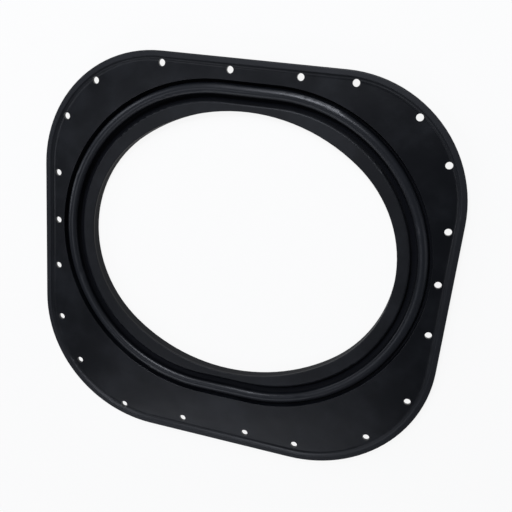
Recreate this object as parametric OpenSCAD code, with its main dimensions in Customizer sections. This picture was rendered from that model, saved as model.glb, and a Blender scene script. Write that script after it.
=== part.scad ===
// Transom seal: a one-piece moulded rubber flange with a folded ring and a thick lip round an oval opening.
// Millimetres. The seal lies on the back of its lip, with the raised rim of the flange facing up.

/* [Flange] */
// Overall width of the flange
flange_w = 429; // [428:1:480]
// Overall height of the flange
flange_h = 407; // [404:1:450]
// Thickness of the flange
flange_t = 3; // [2.5:0.5:6]
// Radius of the two upper corners
top_corner_r = 125; // [100:1:135]
// Radius of the two lower corners
bottom_corner_r = 133; // [100:1:140]

/* [Rim] */
// Width of the flat top of the raised rim along the outer edge
rim_w = 4.8; // [4:0.2:6]
// Height of the rim above the flange
rim_h = 2.5; // [2:0.5:3.5]
// Rounding of the rim's two upper edges
rim_edge_r = 1; // [0.5:0.25:1.5]

/* [Folded ring] */
// Height of the ring's centre above the middle of the flange
ring_y = 16; // [0:0.5:18]
// Length of the ring's straight upper and lower stretches
ring_straight = 54; // [30:1:56]
// Radius of the flange's inner edge at the ring's round ends
ring_r = 167; // [164:1:168]
// Wall thickness of the folds
fold_t = 2.5; // [2:0.25:2.75]
// Width of the groove between the flange and the ridge
outer_groove_w = 3.2; // [2.4:0.2:5]
// Depth of that groove below the flange face
outer_groove_d = 9; // [8:0.5:13]
// Width of the ridge
ridge_w = 10.8; // [9.6:0.6:12]
// Rounding of the ridge's two shoulders
shoulder_r = 3; // [3:0.3:3.9]
// Drop of the ridge's crest below the flange face
ridge_drop = 0; // [0:0.5:1.5]
// Width of the groove between the ridge and the lip
inner_groove_w = 6.2; // [5:0.2:8]
// Depth of that groove below the flange face
inner_groove_d = 13; // [10:0.5:13]
// Rounding of the flange's inner edge
flange_edge_r = 0.5; // [0.25:0.25:1.5]

/* [Lip and opening] */
// Drop of the lip's front face below the flange face
lip_drop = 4; // [3.5:0.5:7]
// Thickness of the lip
lip_t = 12; // [11.5:0.5:16]
// Rounding of the lip's outer edge
lip_edge_r = 2.5; // [1:0.5:4]
// Width of the oval opening
opening_w = 322; // [290:2:324]
// Height of the oval opening
opening_h = 278; // [250:2:280]
// Rounding of the opening's front and back edges
opening_edge_r = 1; // [0.5:0.25:1.5]

/* [Screw holes] */
// Diameter of the screw holes
hole_d = 6.8; // [4:0.1:7]
// Distance of the upper holes from the outer edge
hole_inset_top = 11; // [10.5:0.5:13]
// Distance of the side holes from the outer edge
hole_inset_side = 13.5; // [11.5:0.1:14]
// Distance of the lower holes from the outer edge
hole_inset_bottom = 15; // [13:0.5:25]
// Spacing of the three holes on each side
side_hole_pitch = 52; // [40:1:58]
// Height of the middle side hole above the middle of the flange
side_hole_y = 18; // [0:1:20]

/* [Hidden] */
// Places along the upper and lower edges, from the middle of the flange
top_hole_x = [-89, -20, 48, 99];
bottom_hole_x = [-116, -44, 29, 85];
// Directions of the corner holes from the corner's centre, measured from the sides
top_hole_angles = [27, 52.5];
bottom_left_hole_angles = [12, 39];
bottom_right_hole_angles = [19, 49];

$fn = 96;
eps = 1;

// Levels above the back of the lip
flange_z = lip_drop + lip_t;
flange_back_z = flange_z - flange_t;
lip_z = lip_t;

// Radii of the folds at the ring's round ends, from the flange inwards
outer_groove_r = ring_r - outer_groove_w;
ridge_in_r = outer_groove_r - ridge_w;
lip_r = ridge_in_r - inner_groove_w;
// The ridge's crown is a flat arc between its two shoulders, and the rim's slope is a cove below a round edge;
// the arcs of each run smoothly into each other because their centres lie on 3-4-5 triangles
shoulder_x = ridge_w / 2 - shoulder_r;
crown_drop = 4 / 3 * shoulder_x;
crown_r = shoulder_r + 5 / 3 * shoulder_x;
crown_rise = crown_r - crown_drop;
rim_run = 2 * rim_h;
rim_cove_r = 5 / 2 * rim_h - rim_edge_r;
// Width of the lip's rounded outer band, and its overlap with the flat of the lip
lip_band_w = 2 * lip_edge_r;
lip_overlap = lip_edge_r / 2;

half_w = flange_w / 2;
half_h = flange_h / 2;
half_straight = ring_straight / 2;

// The opening is an oval of four arcs, two ends and two flatter sides, which run smoothly into each other
// because their centres lie on 3-4-5 triangles
oval_k = (opening_w - opening_h) / 4;
end_x = 3 * oval_k;
side_y = 4 * oval_k;
end_r = opening_h / 2 - oval_k;
side_r = end_r + 5 * oval_k;
// Where an end arc meets a side arc
meet_x = end_x + 3 / 5 * end_r;

// Centre and radius of each corner of the flange, anticlockwise from the upper right
corners = [
  [[half_w - top_corner_r, half_h - top_corner_r], top_corner_r],
  [[top_corner_r - half_w, half_h - top_corner_r], top_corner_r],
  [[bottom_corner_r - half_w, bottom_corner_r - half_h], bottom_corner_r],
  [[half_w - bottom_corner_r, bottom_corner_r - half_h], bottom_corner_r]
];

// The round floor of a groove in the section plane
module groove_floor(x, y, inner_r) {
  translate([x, y])
    intersection() {
      difference() {
        circle(inner_r + fold_t);
        circle(inner_r);
      }
      translate([-inner_r - 2 * fold_t, -inner_r - 2 * fold_t])
        square([2 * inner_r + 4 * fold_t, inner_r + 2 * fold_t]);
    }
}

// Outline of the ridge's crown in the section plane, drawn in from its outer face by inset
module crown_outline(inset) {
  meet = shoulder_x + 3 / 5 * (shoulder_r - inset);
  for (side = [-1, 1])
    translate([side * shoulder_x, 0])
      circle(shoulder_r - inset);
  intersection() {
    translate([0, -crown_drop])
      circle(crown_r - inset);
    translate([-meet, 0])
      square([2 * meet, crown_r]);
  }
}

// The crown of the ridge, of one wall thickness
module crown(x, y) {
  translate([x, y])
    intersection() {
      difference() {
        crown_outline(0);
        crown_outline(fold_t);
      }
      translate([-ridge_w, 0])
        square([2 * ridge_w, ridge_w]);
    }
}

// An upright wall in the section plane, from height y0 to y1
module wall(x, y0, y1, t = fold_t) {
  translate([x, y0])
    square([t, y1 - y0]);
}

// The sliver outside a rounded corner, to be cut away; sx and sy point to the corner
module corner_cut(x, y, r, sx, sy) {
  translate([x - sx * r, y - sy * r])
    difference() {
      translate([sx > 0 ? 0 : -r - eps, sy > 0 ? 0 : -r - eps])
        square(r + eps);
      circle(r);
    }
}

// Section of the folds: two grooves with a ridge between them, all of one wall thickness
module fold_section() {
  outer_y = flange_z - outer_groove_d + outer_groove_w / 2;
  ridge_y = flange_z - ridge_drop - crown_rise;
  inner_y = flange_z - inner_groove_d + inner_groove_w / 2;
  difference() {
    wall(ring_r, outer_y, flange_z);
    corner_cut(ring_r, flange_z, flange_edge_r, -1, 1);
  }
  groove_floor(ring_r - outer_groove_w / 2, outer_y, outer_groove_w / 2);
  wall(outer_groove_r - fold_t, outer_y, ridge_y);
  crown(ridge_in_r + ridge_w / 2, ridge_y);
  wall(ridge_in_r, inner_y, ridge_y);
  groove_floor(lip_r + inner_groove_w / 2, inner_y, inner_groove_w / 2);
  difference() {
    wall(lip_r - lip_band_w, 0, lip_z, lip_band_w);
    corner_cut(lip_r, lip_z, lip_edge_r, 1, 1);
  }
}

// Sweeps a section round the ring: two straight stretches and two round ends
module ring_sweep() {
  for (side = [-1, 1]) {
    translate([side * half_straight, 0, 0])
      rotate([0, 0, -side * 90])
        rotate_extrude(angle = 180)
          children();
    rotate([0, 0, side > 0 ? 0 : 180])
      translate([-half_straight, 0, 0])
        rotate([90, 0, 90])
          linear_extrude(ring_straight)
            children();
  }
}

// Outline of the ring, r from its spine
module ring_outline(r) {
  for (side = [-1, 1])
    translate([side * half_straight, 0])
      circle(r);
  translate([-half_straight, -r])
    square([ring_straight, 2 * r]);
}

// Outline of the flange, drawn in from its edge by inset
module flange_outline(inset) {
  for (corner = corners)
    translate(corner[0])
      circle(corner[1] - inset);
  polygon([
    for (i = [0 : 3], turn = [0, 90])
      corners[i][0] + (corners[i][1] - inset) * [cos(90 * i + turn), sin(90 * i + turn)]
  ]);
}

// Section of the rim, its outer face at x = 0, from the flat top down a smooth slope to the flange
module rim_section() {
  foot_x = -rim_w - rim_run;
  top_z = flange_z + rim_h;
  cove_z = flange_z + rim_cove_r;
  edge_z = top_z - rim_edge_r;
  difference() {
    translate([foot_x, flange_back_z])
      square([-foot_x, flange_t + rim_h]);
    corner_cut(0, top_z, rim_edge_r, 1, 1);
    translate([foot_x, cove_z])
      circle(rim_cove_r);
    difference() {
      polygon([[foot_x, cove_z], [-rim_w, edge_z], [-rim_w, cove_z]]);
      translate([-rim_w, edge_z])
        circle(rim_edge_r);
    }
  }
}

// The rim: a corner and the straight side after it, four times
module rim() {
  for (i = [0 : 3]) {
    centre = corners[i][0];
    length = (centre - corners[(i + 1) % 4][0]) * [cos(90 * i), sin(90 * i)];
    translate(centre)
      rotate([0, 0, 90 * i]) {
        rotate_extrude(angle = 90)
          translate([corners[i][1], 0])
            rim_section();
        translate([-length, 0, 0])
          rotate([90, 0, 90])
            linear_extrude(length)
              translate([corners[i][1], 0])
                rim_section();
      }
  }
}

// The flat of the flange, from the rim to the folded ring
module flange() {
  translate([0, 0, flange_back_z])
    linear_extrude(flange_t)
      difference() {
        flange_outline(rim_w / 2);
        translate([0, ring_y])
          ring_outline(ring_r + (fold_t + flange_edge_r) / 2);
      }
}

// Outline of the oval opening
module opening_outline() {
  for (side = [-1, 1])
    translate([side * end_x, 0])
      circle(end_r);
  intersection() {
    translate([0, -side_y])
      circle(side_r);
    translate([0, side_y])
      circle(side_r);
    square([2 * meet_x, opening_h], center = true);
  }
}

// Rounding of the lip's front and back edges along one arc of radius r, within the corner of a triangle
module edge_round(r, corner) {
  intersection() {
    rotate_extrude() {
      corner_cut(r, lip_z, opening_edge_r, -1, 1);
      corner_cut(r, 0, opening_edge_r, -1, -1);
    }
    translate([0, 0, -2 * eps])
      linear_extrude(lip_t + 4 * eps)
        polygon(concat([[0, 0]], r * corner / 2));
  }
}

// The opening through the lip, rounded over at its front and back edges
module opening() {
  translate([0, 0, -eps])
    linear_extrude(lip_t + 2 * eps)
      opening_outline();
  for (turn = [0, 180])
    rotate([0, 0, turn]) {
      translate([end_x, 0, 0])
        edge_round(end_r, [[3, -4], [3, 4]]);
      translate([0, -side_y, 0])
        edge_round(side_r, [[3, 4], [-3, 4]]);
    }
}

// One screw hole through the flange
module hole(x, y) {
  translate([x, y, -eps])
    cylinder(h = flange_z + rim_h + 2 * eps, d = hole_d);
}

// Screw holes round one corner, at the given angles from its first tangent point
module corner_holes(i, inset, angles) {
  for (a = angles) {
    p = corners[i][0] + (corners[i][1] - inset) * [cos(90 * i + a), sin(90 * i + a)];
    hole(p[0], p[1]);
  }
}

module screw_holes() {
  for (x = top_hole_x)
    hole(x, half_h - hole_inset_top);
  for (x = bottom_hole_x)
    hole(x, hole_inset_bottom - half_h);
  for (side = [-1, 1], k = [-1 : 1])
    hole(side * (half_w - hole_inset_side), side_hole_y + k * side_hole_pitch);
  corner_holes(0, hole_inset_top, top_hole_angles);
  corner_holes(1, hole_inset_top, [for (a = top_hole_angles) 90 - a]);
  corner_holes(2, hole_inset_bottom, bottom_left_hole_angles);
  corner_holes(3, hole_inset_bottom, [for (a = bottom_right_hole_angles) 90 - a]);
}

module seal_body() {
  color([0.09, 0.09, 0.1])
    difference() {
      union() {
        rim();
        flange();
        translate([0, ring_y, 0]) {
          ring_sweep()
            fold_section();
          linear_extrude(lip_t)
            ring_outline(lip_r - lip_band_w + lip_overlap);
        }
      }
      translate([0, ring_y, 0])
        opening();
      screw_holes();
    }
}

seal_body();
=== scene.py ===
"""Transom seal: the looks of a one-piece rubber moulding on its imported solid, in a white studio."""

import math

import bpy
from bpy.props import FloatProperty, FloatVectorProperty, PointerProperty
from bpy.types import Operator, Panel, PropertyGroup
from mathutils import Matrix, Vector

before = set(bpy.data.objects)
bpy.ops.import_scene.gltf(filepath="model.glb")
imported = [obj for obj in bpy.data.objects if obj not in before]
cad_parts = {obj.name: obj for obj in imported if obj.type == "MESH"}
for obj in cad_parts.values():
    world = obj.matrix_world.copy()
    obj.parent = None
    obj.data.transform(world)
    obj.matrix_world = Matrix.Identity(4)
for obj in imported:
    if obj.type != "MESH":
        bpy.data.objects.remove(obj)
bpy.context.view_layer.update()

bl_info = {
    "name": "Transom seal",
    "version": (1, 0, 0),
    "blender": (4, 5, 0),
    "location": "3D View > Sidebar > Transom Seal",
    "description": "Dresses a moulded rubber transom seal and sets up its studio",
    "category": "Object",
}

MM = 0.001
WHITE = (1, 1, 1, 1)

SEAL_NODE = "seal_body"

# The rim rises from the flange's front face, and its painted sheen and extra roughness are full well below
# its top
FRONT_FACE_Z = 16 * MM
RIM_FULL_Z = 17.2 * MM

# The ring follows two straight stretches along X and two round ends about RING_Y
RING_HALF_STRAIGHT = 27 * MM
RING_Y = 16 * MM
RIDGE_RADIUS = 158.4 * MM
RIDGE_HALF_WIDTH = 5.4 * MM
RIDGE_HALF_FLAT = 2.4 * MM
LIP_RADIUS = 146.8 * MM
INNER_GROOVE_WIDTH = 6.2 * MM
LIP_EDGE = 2 * MM

# Typical of filled rubber
RUBBER_IOR = 1.5
# Limits of the haze noise: where a patch starts and is full, and where the sheen is highest and lowest
PATCH_LIMITS = (0.42, 0.72)
SHEEN_LIMITS = (0.3, 0.7)

# Half the side of the square paper floor, and its gap below the seal
FLOOR_HALF = 3.0
FLOOR_GAP = 0.1 * MM
# Share of plain white in the paper as it is seen; the rest is lit paper, which keeps the shadow
PAPER_WHITE = 0.9

# The camera's sensor in millimetres, as Blender takes it, and the nearest distance that it sees
SENSOR_WIDTH = 36
CLIP_START = 10 * MM

# Softboxes round the seal: name, tilt from +Z and bearing from +X in degrees,
# width and length in metres, share of the light
LAMP_DISTANCE = 1.4
SOFTBOXES = (
    ("key_softbox", 30, 93, 0.30, 0.30, 0.41),
    ("upper_bank", 46, 95, 0.60, 0.40, 0.12),
    ("upper_left_bank", 62, 152, 0.60, 0.40, 0.13),
    ("left_card", 76, 182, 0.60, 0.40, 0.09),
    ("lower_left_card", 60, 240, 0.60, 0.40, 0.07),
    ("lower_fill", 46, 260, 0.70, 0.40, 0.07),
    ("front_card", 24, 200, 0.40, 0.40, 0.06),
    ("right_card", 48, 355, 0.60, 0.40, 0.04),
)


def srgb(code):
    """Linear red, green and blue of an sRGB hex colour."""
    parts = [int(code[i:i + 2], 16) / 255 for i in (1, 3, 5)]
    return tuple(c / 12.92 if c <= 0.04045 else ((c + 0.055) / 1.055) ** 2.4 for c in parts)


def add_node(tree, kind, settings=None, inputs=None):
    """Adds a node, sets its properties, and fills or links its inputs."""
    node = tree.nodes.new(kind)
    for name, value in (settings or {}).items():
        setattr(node, name, value)
    for name, value in (inputs or {}).items():
        if isinstance(value, bpy.types.NodeSocket):
            tree.links.new(value, node.inputs[name])
        else:
            node.inputs[name].default_value = value
    return node


class RubberFinish(PropertyGroup):
    """Finish of the moulded rubber."""

    black: FloatVectorProperty(
        name="Rubber", description="Colour of the carbon-filled rubber",
        subtype="COLOR", size=3, min=0, max=1, default=srgb("#0B0D11"))
    bloom: FloatVectorProperty(
        name="Bloom", description="Colour of the wax haze that comes to the surface",
        subtype="COLOR", size=3, min=0, max=1, default=srgb("#17191D"))
    # Painted shade: a near-black colour for the folds, standing in for the shade that falls in them
    fold_shade: FloatVectorProperty(
        name="Film", description="Colour of the dark release film that stays in the folds",
        subtype="COLOR", size=3, min=0, max=1, default=srgb("#06080F"))
    # Painted sheen: a paler colour on the rim and the ridge's crown, standing in for the light that their
    # rounded tops catch
    painted_sheen: FloatVectorProperty(
        name="Scuff", description="Colour of the rubber where handling has scuffed it",
        subtype="COLOR", size=3, min=0, max=1, default=srgb("#1C1E22"))
    roughness: FloatProperty(
        name="Roughness", description="Roughness of the moulded skin",
        subtype="FACTOR", min=0, max=1, default=0.31)
    sheen_spread: FloatProperty(
        name="Sheen spread", description="How far the haze moves the roughness up and down",
        subtype="FACTOR", min=0, max=1, default=0.03)
    specular: FloatProperty(
        name="Specular", description="Specular level of the skin, the same all over",
        subtype="FACTOR", min=0, max=1, default=0.28)
    rubbing: FloatProperty(
        name="Rubbing", description="Roughness that rubbing adds on the rim and the lip",
        subtype="FACTOR", min=0, max=1, default=0.16)
    # Roughness added in the folds, where the painted shade is
    fold_roughness: FloatProperty(
        name="Film dullness", description="Roughness that the release film adds in the folds",
        subtype="FACTOR", min=0, max=1, default=0.65)
    # Share by which the bore counts as open, so that it keeps less of the folds' painted shade and
    # roughness
    bore_open_share: FloatProperty(
        name="Bore wipe", description="Share of the release film that use has wiped off the bore",
        subtype="FACTOR", min=0, max=1, default=0.5)
    # Share of the painted sheen colour on the rim
    rim_sheen_share: FloatProperty(
        name="Rim scuff", description="Share of the scuffed colour on the rim",
        subtype="FACTOR", min=0, max=1, default=0.6)
    bloom_patch: FloatProperty(
        name="Bloom patch", description="Width of a patch of haze",
        unit="LENGTH", default=48 * MM)
    ripple: FloatProperty(
        name="Ripple", description="Length of the slow waves in the soft flange",
        unit="LENGTH", default=30 * MM)
    ripple_depth: FloatProperty(
        name="Ripple depth", description="Depth of the slow waves",
        unit="LENGTH", default=0.35 * MM)
    grain: FloatProperty(
        name="Grain", description="Width of a grain of the blasted mould",
        unit="LENGTH", default=1.6 * MM)
    grain_depth: FloatProperty(
        name="Grain depth", description="Depth of the grain",
        unit="LENGTH", default=0.03 * MM)
    # Below fold_floor the folds carry painted shade and extra roughness, and above fold_mouth neither
    fold_floor: FloatProperty(
        name="Fold floor", description="Height below which the folds keep their dull skin",
        unit="LENGTH", default=8 * MM)
    fold_mouth: FloatProperty(
        name="Fold mouth", description="Height above which the faces are open and carry the full sheen",
        unit="LENGTH", default=11.2 * MM)


class StudioSetup(PropertyGroup):
    """Camera and light of the studio."""

    camera_place: FloatVectorProperty(
        name="Camera", description="Place of the camera",
        subtype="TRANSLATION", unit="LENGTH", default=(0.1678, 0.2100, 0.6069))
    camera_target: FloatVectorProperty(
        name="Target", description="Point on the flange's front face that the camera looks at",
        subtype="TRANSLATION", unit="LENGTH", default=(0.0226, 0.0158, FRONT_FACE_Z))
    camera_roll: FloatProperty(
        name="Roll", description="Turn of the camera about its line of sight",
        subtype="ANGLE", default=math.radians(5.6))
    lens: FloatProperty(
        name="Lens", description="Focal length on a 36 mm wide sensor, in millimetres",
        unit="CAMERA", default=44.62)
    light: FloatProperty(
        name="Light", description="Power of all the softboxes together",
        unit="POWER", default=23)
    daylight: FloatVectorProperty(
        name="Daylight", description="Colour of the softboxes",
        subtype="COLOR", size=3, min=0, max=1, default=srgb("#EEF2FD"))
    paper: FloatVectorProperty(
        name="Paper", description="Colour of the paper floor under the lamps",
        subtype="COLOR", size=3, min=0, max=1, default=srgb("#F2F2F2"))
    ambient: FloatProperty(
        name="Ambient", description="Strength of the even light from all round",
        min=0, default=0.06)


def rubber_material(finish):
    """Carbon-black rubber, compression moulded in a fine-blasted steel tool.

    It is nearly black with a cool tint and a satin sheen. Wax that comes to the surface leaves a faint
    cloudy haze, the soft flange ripples a little, and the tool's blasting leaves a fine grain.
    The folds are painted darker as painted shade and are rougher, the rim and the ridge's crown are painted
    paler as a painted sheen, and the lip is rubbed matt.
    """
    material = bpy.data.materials.new("carbon_black_rubber_compression_moulded")
    material.use_nodes = True
    tree = material.node_tree
    tree.nodes.clear()
    smooth = {"interpolation_type": "SMOOTHSTEP"}
    place = add_node(tree, "ShaderNodeTexCoord").outputs["Object"]
    height = add_node(tree, "ShaderNodeSeparateXYZ", inputs={"Vector": place}).outputs["Z"]

    # Masks: the rim by its height, and the crown, the lip and its bore by the ring's radius
    rim = add_node(tree, "ShaderNodeMapRange", smooth, {
        "Value": height, "From Min": FRONT_FACE_Z, "From Max": RIM_FULL_Z}).outputs["Result"]
    arm = place
    for operation, amount in (
            ("SUBTRACT", (0, RING_Y, 0)),
            ("ABSOLUTE", (0, 0, 0)),
            ("SUBTRACT", (RING_HALF_STRAIGHT, 0, 0)),
            ("MAXIMUM", (0, 0, 0)),
            ("MULTIPLY", (1, 1, 0))):
        step = add_node(tree, "ShaderNodeVectorMath", {"operation": operation}, {0: arm, 1: amount})
        arm = step.outputs[0]
    radius = add_node(tree, "ShaderNodeVectorMath", {"operation": "LENGTH"}, {0: arm}).outputs["Value"]
    off_crown = add_node(tree, "ShaderNodeMath", {"operation": "SUBTRACT"}, {0: radius, 1: RIDGE_RADIUS})
    off_crown = add_node(tree, "ShaderNodeMath", {"operation": "ABSOLUTE"}, {0: off_crown.outputs[0]})
    crown = add_node(tree, "ShaderNodeMapRange", smooth, {
        "Value": off_crown.outputs[0], "From Min": RIDGE_HALF_WIDTH, "From Max": RIDGE_HALF_FLAT})
    lip = add_node(tree, "ShaderNodeMapRange", smooth, {
        "Value": radius, "From Min": LIP_RADIUS + INNER_GROOVE_WIDTH, "From Max": LIP_RADIUS})
    bore = add_node(tree, "ShaderNodeMapRange", smooth, {
        "Value": radius, "From Min": LIP_RADIUS, "From Max": LIP_RADIUS - LIP_EDGE,
        "To Max": finish.bore_open_share})
    # Painted shade and the dull skin stay low down: 0 in the folds, 1 on the open faces, between them in
    # the partly open bore
    open_face = add_node(tree, "ShaderNodeMapRange", smooth, {
        "Value": height, "From Min": finish.fold_floor, "From Max": finish.fold_mouth})
    open_face = add_node(tree, "ShaderNodeMath", {"operation": "MAXIMUM"}, {
        0: open_face.outputs["Result"], 1: bore.outputs["Result"]}).outputs[0]

    # Colour: cloudy wax haze, paler on the rim and the crown as a painted sheen, darkest in the folds as
    # painted shade
    haze = add_node(tree, "ShaderNodeTexNoise", inputs={
        "Vector": place, "Scale": 1 / finish.bloom_patch, "Detail": 4, "Roughness": 0.6}).outputs["Fac"]
    patches = add_node(tree, "ShaderNodeMapRange", smooth, {
        "Value": haze, "From Min": PATCH_LIMITS[0], "From Max": PATCH_LIMITS[1]})
    skin_colour = add_node(tree, "ShaderNodeMix", {"data_type": "RGBA"}, {
        "Factor": patches.outputs["Result"], 6: (*finish.black, 1), 7: (*finish.bloom, 1)})
    # Painted sheen: the rim and the crown are mixed towards a paler colour
    rim_sheen = add_node(tree, "ShaderNodeMath", {"operation": "MULTIPLY"}, {0: rim, 1: finish.rim_sheen_share})
    sheen_mask = add_node(tree, "ShaderNodeMath", {"operation": "MAXIMUM"}, {
        0: rim_sheen.outputs[0], 1: crown.outputs["Result"]})
    sheen_colour = add_node(tree, "ShaderNodeMix", {"data_type": "RGBA"}, {
        "Factor": sheen_mask.outputs[0], 6: skin_colour.outputs[2], 7: (*finish.painted_sheen, 1)})
    # Painted shade: the folds are mixed towards a near-black colour
    colour = add_node(tree, "ShaderNodeMix", {"data_type": "RGBA"}, {
        "Factor": open_face, 6: (*finish.fold_shade, 1), 7: sheen_colour.outputs[2]})

    # Roughness: a satin skin that varies with the haze, matt on the rubbed rim and lip, dull in the folds
    sheen = add_node(tree, "ShaderNodeMapRange", inputs={
        "Value": haze, "From Min": SHEEN_LIMITS[0], "From Max": SHEEN_LIMITS[1],
        "To Min": finish.roughness - finish.sheen_spread, "To Max": finish.roughness + finish.sheen_spread})
    rubbed = add_node(tree, "ShaderNodeMath", {"operation": "MAXIMUM"}, {0: rim, 1: lip.outputs["Result"]})
    rubbed = add_node(tree, "ShaderNodeMath", {"operation": "MULTIPLY"}, {
        0: rubbed.outputs[0], 1: finish.rubbing})
    skin_dullness = add_node(tree, "ShaderNodeMath", {"operation": "ADD"}, {
        0: sheen.outputs["Result"], 1: rubbed.outputs[0]})
    fold_dullness = add_node(tree, "ShaderNodeMapRange", inputs={
        "Value": open_face, "From Min": 0, "From Max": 1, "To Min": finish.fold_roughness, "To Max": 0})
    dullness = add_node(tree, "ShaderNodeMath", {"operation": "ADD"}, {
        0: skin_dullness.outputs[0], 1: fold_dullness.outputs["Result"]})

    # Relief: slow waves, and the blasted grain, which is half a millimetre wide on the tool
    # and is drawn wider so that it shows
    ripple = add_node(tree, "ShaderNodeTexNoise", inputs={
        "Vector": place, "Scale": 1 / finish.ripple, "Detail": 1, "Roughness": 0.4})
    waves = add_node(tree, "ShaderNodeBump", inputs={
        "Height": ripple.outputs["Fac"], "Strength": 1.0, "Distance": finish.ripple_depth})
    grain = add_node(tree, "ShaderNodeTexNoise", inputs={
        "Vector": place, "Scale": 1 / finish.grain, "Detail": 2, "Roughness": 0.5})
    skin = add_node(tree, "ShaderNodeBump", inputs={
        "Height": grain.outputs["Fac"], "Strength": 1.0, "Distance": finish.grain_depth,
        "Normal": waves.outputs["Normal"]})

    shader = add_node(tree, "ShaderNodeBsdfPrincipled", inputs={
        "Base Color": colour.outputs[2], "Roughness": dullness.outputs[0], "IOR": RUBBER_IOR,
        "Specular IOR Level": finish.specular, "Normal": skin.outputs["Normal"]})
    add_node(tree, "ShaderNodeOutputMaterial", inputs={"Surface": shader.outputs["BSDF"]})
    return material


def paper_material(colour):
    """White seamless paper, matt: nearly pure white to the eye, with the seal's shadow faint on it."""
    material = bpy.data.materials.new("white_seamless_paper_matt")
    material.use_nodes = True
    tree = material.node_tree
    tree.nodes.clear()
    rays = add_node(tree, "ShaderNodeLightPath").outputs
    seen = add_node(tree, "ShaderNodeMath", {"operation": "MAXIMUM"}, {
        0: rays["Is Camera Ray"], 1: rays["Is Glossy Ray"]})
    seen = add_node(tree, "ShaderNodeMath", {"operation": "MAXIMUM"}, {
        0: seen.outputs[0], 1: rays["Is Transmission Ray"]})
    whiten = add_node(tree, "ShaderNodeMath", {"operation": "MULTIPLY"}, {
        0: seen.outputs[0], 1: PAPER_WHITE})
    paper = add_node(tree, "ShaderNodeBsdfDiffuse", inputs={"Color": (*colour, 1)})
    glow = add_node(tree, "ShaderNodeEmission", inputs={"Color": WHITE, "Strength": 1.0})
    front = add_node(tree, "ShaderNodeMixShader", inputs={
        "Fac": whiten.outputs[0], 1: paper.outputs["BSDF"], 2: glow.outputs["Emission"]})
    # Seen from below the paper lets the view through, so that the seal's back shows
    behind = add_node(tree, "ShaderNodeNewGeometry").outputs["Backfacing"]
    clear = add_node(tree, "ShaderNodeBsdfTransparent")
    surface = add_node(tree, "ShaderNodeMixShader", inputs={
        "Fac": behind, 1: front.outputs["Shader"], 2: clear.outputs["BSDF"]})
    add_node(tree, "ShaderNodeOutputMaterial", inputs={"Surface": surface.outputs["Shader"]})
    return material


def studio_world(strength):
    """Even light from all round, behind which the camera sees white.

    Gloss sees the even light instead: a white sky mirrored in the black rubber turns it grey.
    """
    world = bpy.data.worlds.new("studio_white")
    world.use_nodes = True
    tree = world.node_tree
    tree.nodes.clear()
    rays = add_node(tree, "ShaderNodeLightPath").outputs
    ambient = add_node(tree, "ShaderNodeBackground", inputs={"Color": WHITE, "Strength": strength})
    white = add_node(tree, "ShaderNodeBackground", inputs={"Color": WHITE, "Strength": 1.0})
    surface = add_node(tree, "ShaderNodeMixShader", inputs={
        "Fac": rays["Is Camera Ray"], 1: ambient.outputs["Background"], 2: white.outputs["Background"]})
    add_node(tree, "ShaderNodeOutputWorld", inputs={"Surface": surface.outputs["Shader"]})
    return world


def aim(place, target, roll=0.0):
    """Matrix of a camera or lamp at place, looking at target, with the seal's +Y up."""
    back = (Vector(place) - Vector(target)).normalized()
    right = Vector((0, 1, 0)).cross(back).normalized()
    up = back.cross(right)
    turn = Matrix((right, up, back)).transposed().to_4x4()
    return Matrix.Translation(place) @ turn @ Matrix.Rotation(roll, 4, "Z")


def softbox(name, tilt, bearing, width, length, power, colour):
    """A rectangular lamp aimed at the seal from LAMP_DISTANCE away, hidden from the camera.

    The tilt is measured from the +Z axis and the bearing from +X towards +Y, in degrees.
    """
    tilt, bearing = math.radians(tilt), math.radians(bearing)
    place = LAMP_DISTANCE * Vector((
        math.sin(tilt) * math.cos(bearing), math.sin(tilt) * math.sin(bearing), math.cos(tilt)))
    lamp = bpy.data.lights.new(name, "AREA")
    lamp.shape = "RECTANGLE"
    lamp.size, lamp.size_y = width, length
    lamp.energy = power
    lamp.color = colour
    holder = bpy.data.objects.new(name, lamp)
    bpy.context.scene.collection.objects.link(holder)
    holder.matrix_world = aim(place, (0, 0, FRONT_FACE_Z))
    holder.visible_camera = False
    return holder


class TRANSOM_SEAL_OT_body(Operator):
    """Gives the moulded seal its rubber"""

    bl_idname = "transom_seal.body"
    bl_label = "Seal Body"

    def execute(self, context):
        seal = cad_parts[SEAL_NODE]
        seal.data.materials.clear()
        seal.data.materials.append(rubber_material(context.scene.rubber_finish))
        return {"FINISHED"}


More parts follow.
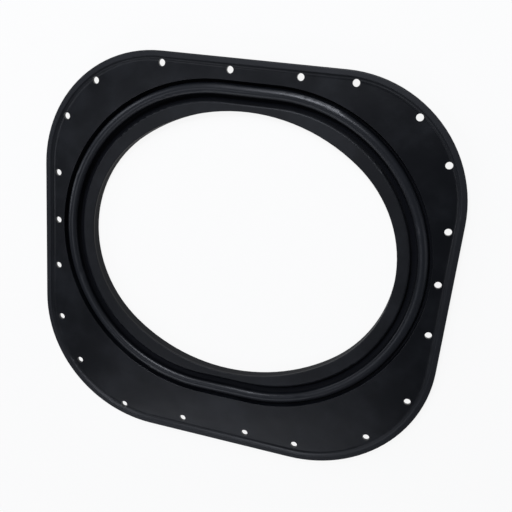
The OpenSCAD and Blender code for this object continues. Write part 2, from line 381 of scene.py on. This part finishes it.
class TRANSOM_SEAL_OT_stage(Operator):
    """Makes the paper floor, the lamps and the camera"""

    bl_idname = "transom_seal.stage"
    bl_label = "Studio"

    def execute(self, context):
        setup = context.scene.studio_setup
        sheet = bpy.data.meshes.new("paper_floor")
        corners = [(FLOOR_HALF * x, FLOOR_HALF * y, 0) for x, y in ((-1, -1), (1, -1), (1, 1), (-1, 1))]
        sheet.from_pydata(corners, [], [(0, 1, 2, 3)])
        sheet.materials.append(paper_material(setup.paper))
        floor = bpy.data.objects.new("paper_floor", sheet)
        floor.location.z = -FLOOR_GAP
        context.scene.collection.objects.link(floor)

        context.scene.world = studio_world(setup.ambient)
        for name, tilt, bearing, width, length, share in SOFTBOXES:
            softbox(name, tilt, bearing, width, length, share * setup.light, setup.daylight)

        camera = bpy.data.cameras.new("photo_camera")
        camera.sensor_width = SENSOR_WIDTH
        camera.lens = setup.lens
        camera.clip_start = CLIP_START
        holder = bpy.data.objects.new("photo_camera", camera)
        context.scene.collection.objects.link(holder)
        holder.matrix_world = aim(setup.camera_place, setup.camera_target, setup.camera_roll)
        context.scene.camera = holder
        context.scene.view_settings.view_transform = "Standard"
        return {"FINISHED"}


class TRANSOM_SEAL_PT_panel(Panel):
    """Finish, light and build steps of the seal"""

    bl_label = "Transom Seal"
    bl_idname = "TRANSOM_SEAL_PT_panel"
    bl_space_type = "VIEW_3D"
    bl_region_type = "UI"
    bl_category = "Transom Seal"

    def draw(self, context):
        for group in (context.scene.rubber_finish, context.scene.studio_setup):
            column = self.layout.column()
            for name in group.__annotations__:
                column.prop(group, name)
        for step in STEPS:
            self.layout.operator(step.bl_idname)


STEPS = (TRANSOM_SEAL_OT_body, TRANSOM_SEAL_OT_stage)
CLASSES = (RubberFinish, StudioSetup, *STEPS, TRANSOM_SEAL_PT_panel)


def register():
    for cls in CLASSES:
        bpy.utils.register_class(cls)
    bpy.types.Scene.rubber_finish = PointerProperty(type=RubberFinish)
    bpy.types.Scene.studio_setup = PointerProperty(type=StudioSetup)


def unregister():
    del bpy.types.Scene.studio_setup
    del bpy.types.Scene.rubber_finish
    for cls in reversed(CLASSES):
        bpy.utils.unregister_class(cls)


def main():
    register()
    bpy.ops.transom_seal.body()
    bpy.ops.transom_seal.stage()


if __name__ == "__main__":
    main()
